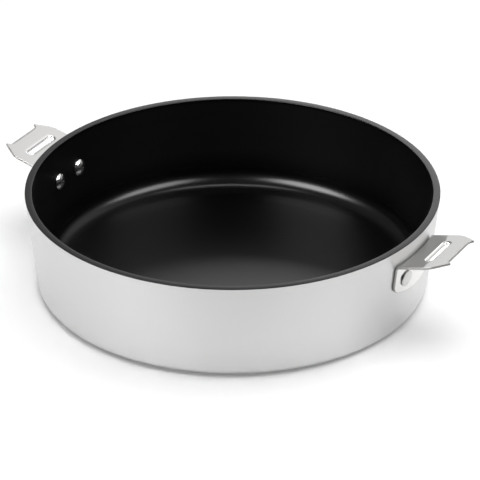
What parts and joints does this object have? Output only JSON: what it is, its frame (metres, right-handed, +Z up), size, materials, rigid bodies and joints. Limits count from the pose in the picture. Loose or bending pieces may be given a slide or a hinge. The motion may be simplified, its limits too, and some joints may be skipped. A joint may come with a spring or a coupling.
{
  "type": "saute pan",
  "caption": "Low round aluminium saute pan with a dark non-stick lining, a flat base and slotted sheet-steel grips riveted to opposite sides.",
  "frame": {"origin": "on the table, under the middle of the base", "axes": "+Z up, out of the pan's mouth; +X and -X towards the two grips"},
  "size_m": [0.3434, 0.28, 0.0695],
  "materials": {
    "shell_aluminium": "satin, finely brushed round the wall",
    "nonstick_coat": "black non-stick coat with a low sheen",
    "base_steel": "turned",
    "grip_steel": "stamped sheet, nearly polished",
    "rivet_steel": "polished"
  },
  "bodies": {
    "root": {"pan_body": "shell_aluminium", "nonstick_lining": "nonstick_coat", "base_disc": "base_steel", "right_bracket": "grip_steel", "left_bracket": "grip_steel", "right_front_rivet": "rivet_steel", "right_back_rivet": "rivet_steel", "left_front_rivet": "rivet_steel", "left_back_rivet": "rivet_steel"}
  },
  "joints": []
}
